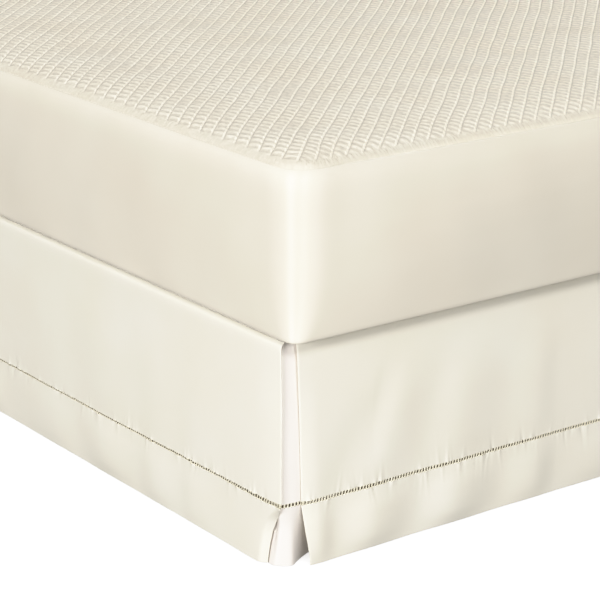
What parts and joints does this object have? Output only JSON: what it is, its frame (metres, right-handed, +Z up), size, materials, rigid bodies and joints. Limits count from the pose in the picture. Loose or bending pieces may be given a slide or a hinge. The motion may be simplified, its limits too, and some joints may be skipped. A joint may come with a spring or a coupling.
{
  "type": "bed skirt on a bed",
  "caption": "Tailored ivory sateen bed skirt with an openwork line above a deep hem and split corners with pleat inserts, hung on a plain bed with its mattress.",
  "frame": {"origin": "floor level under the middle of the whole object", "axes": "+Z up, +Y from the foot of the bed to its head, +X across the bed"},
  "size_m": [1.5399, 2.052, 0.6688],
  "materials": {
    "skirt_sateen": "ivory cotton sateen with a soft sheen",
    "deck_cloth": "plain matt cotton",
    "mattress_cover": "satin sides and a finely quilted top",
    "spring_cover": "plain woven cover",
    "frame_wood": "oiled wood"
  },
  "bodies": {
    "root": {"side_panel_left": "skirt_sateen", "side_panel_right": "skirt_sateen", "foot_panel": "skirt_sateen", "corner_insert_left": "skirt_sateen", "corner_insert_right": "skirt_sateen", "deck": "deck_cloth", "mattress": "mattress_cover", "box_spring": "spring_cover", "rail_left": "frame_wood", "rail_right": "frame_wood", "slat_1": "frame_wood", "slat_2": "frame_wood", "slat_3": "frame_wood", "leg_left_1": "frame_wood", "leg_left_2": "frame_wood", "leg_left_3": "frame_wood", "leg_right_1": "frame_wood", "leg_right_2": "frame_wood", "leg_right_3": "frame_wood"}
  },
  "joints": []
}
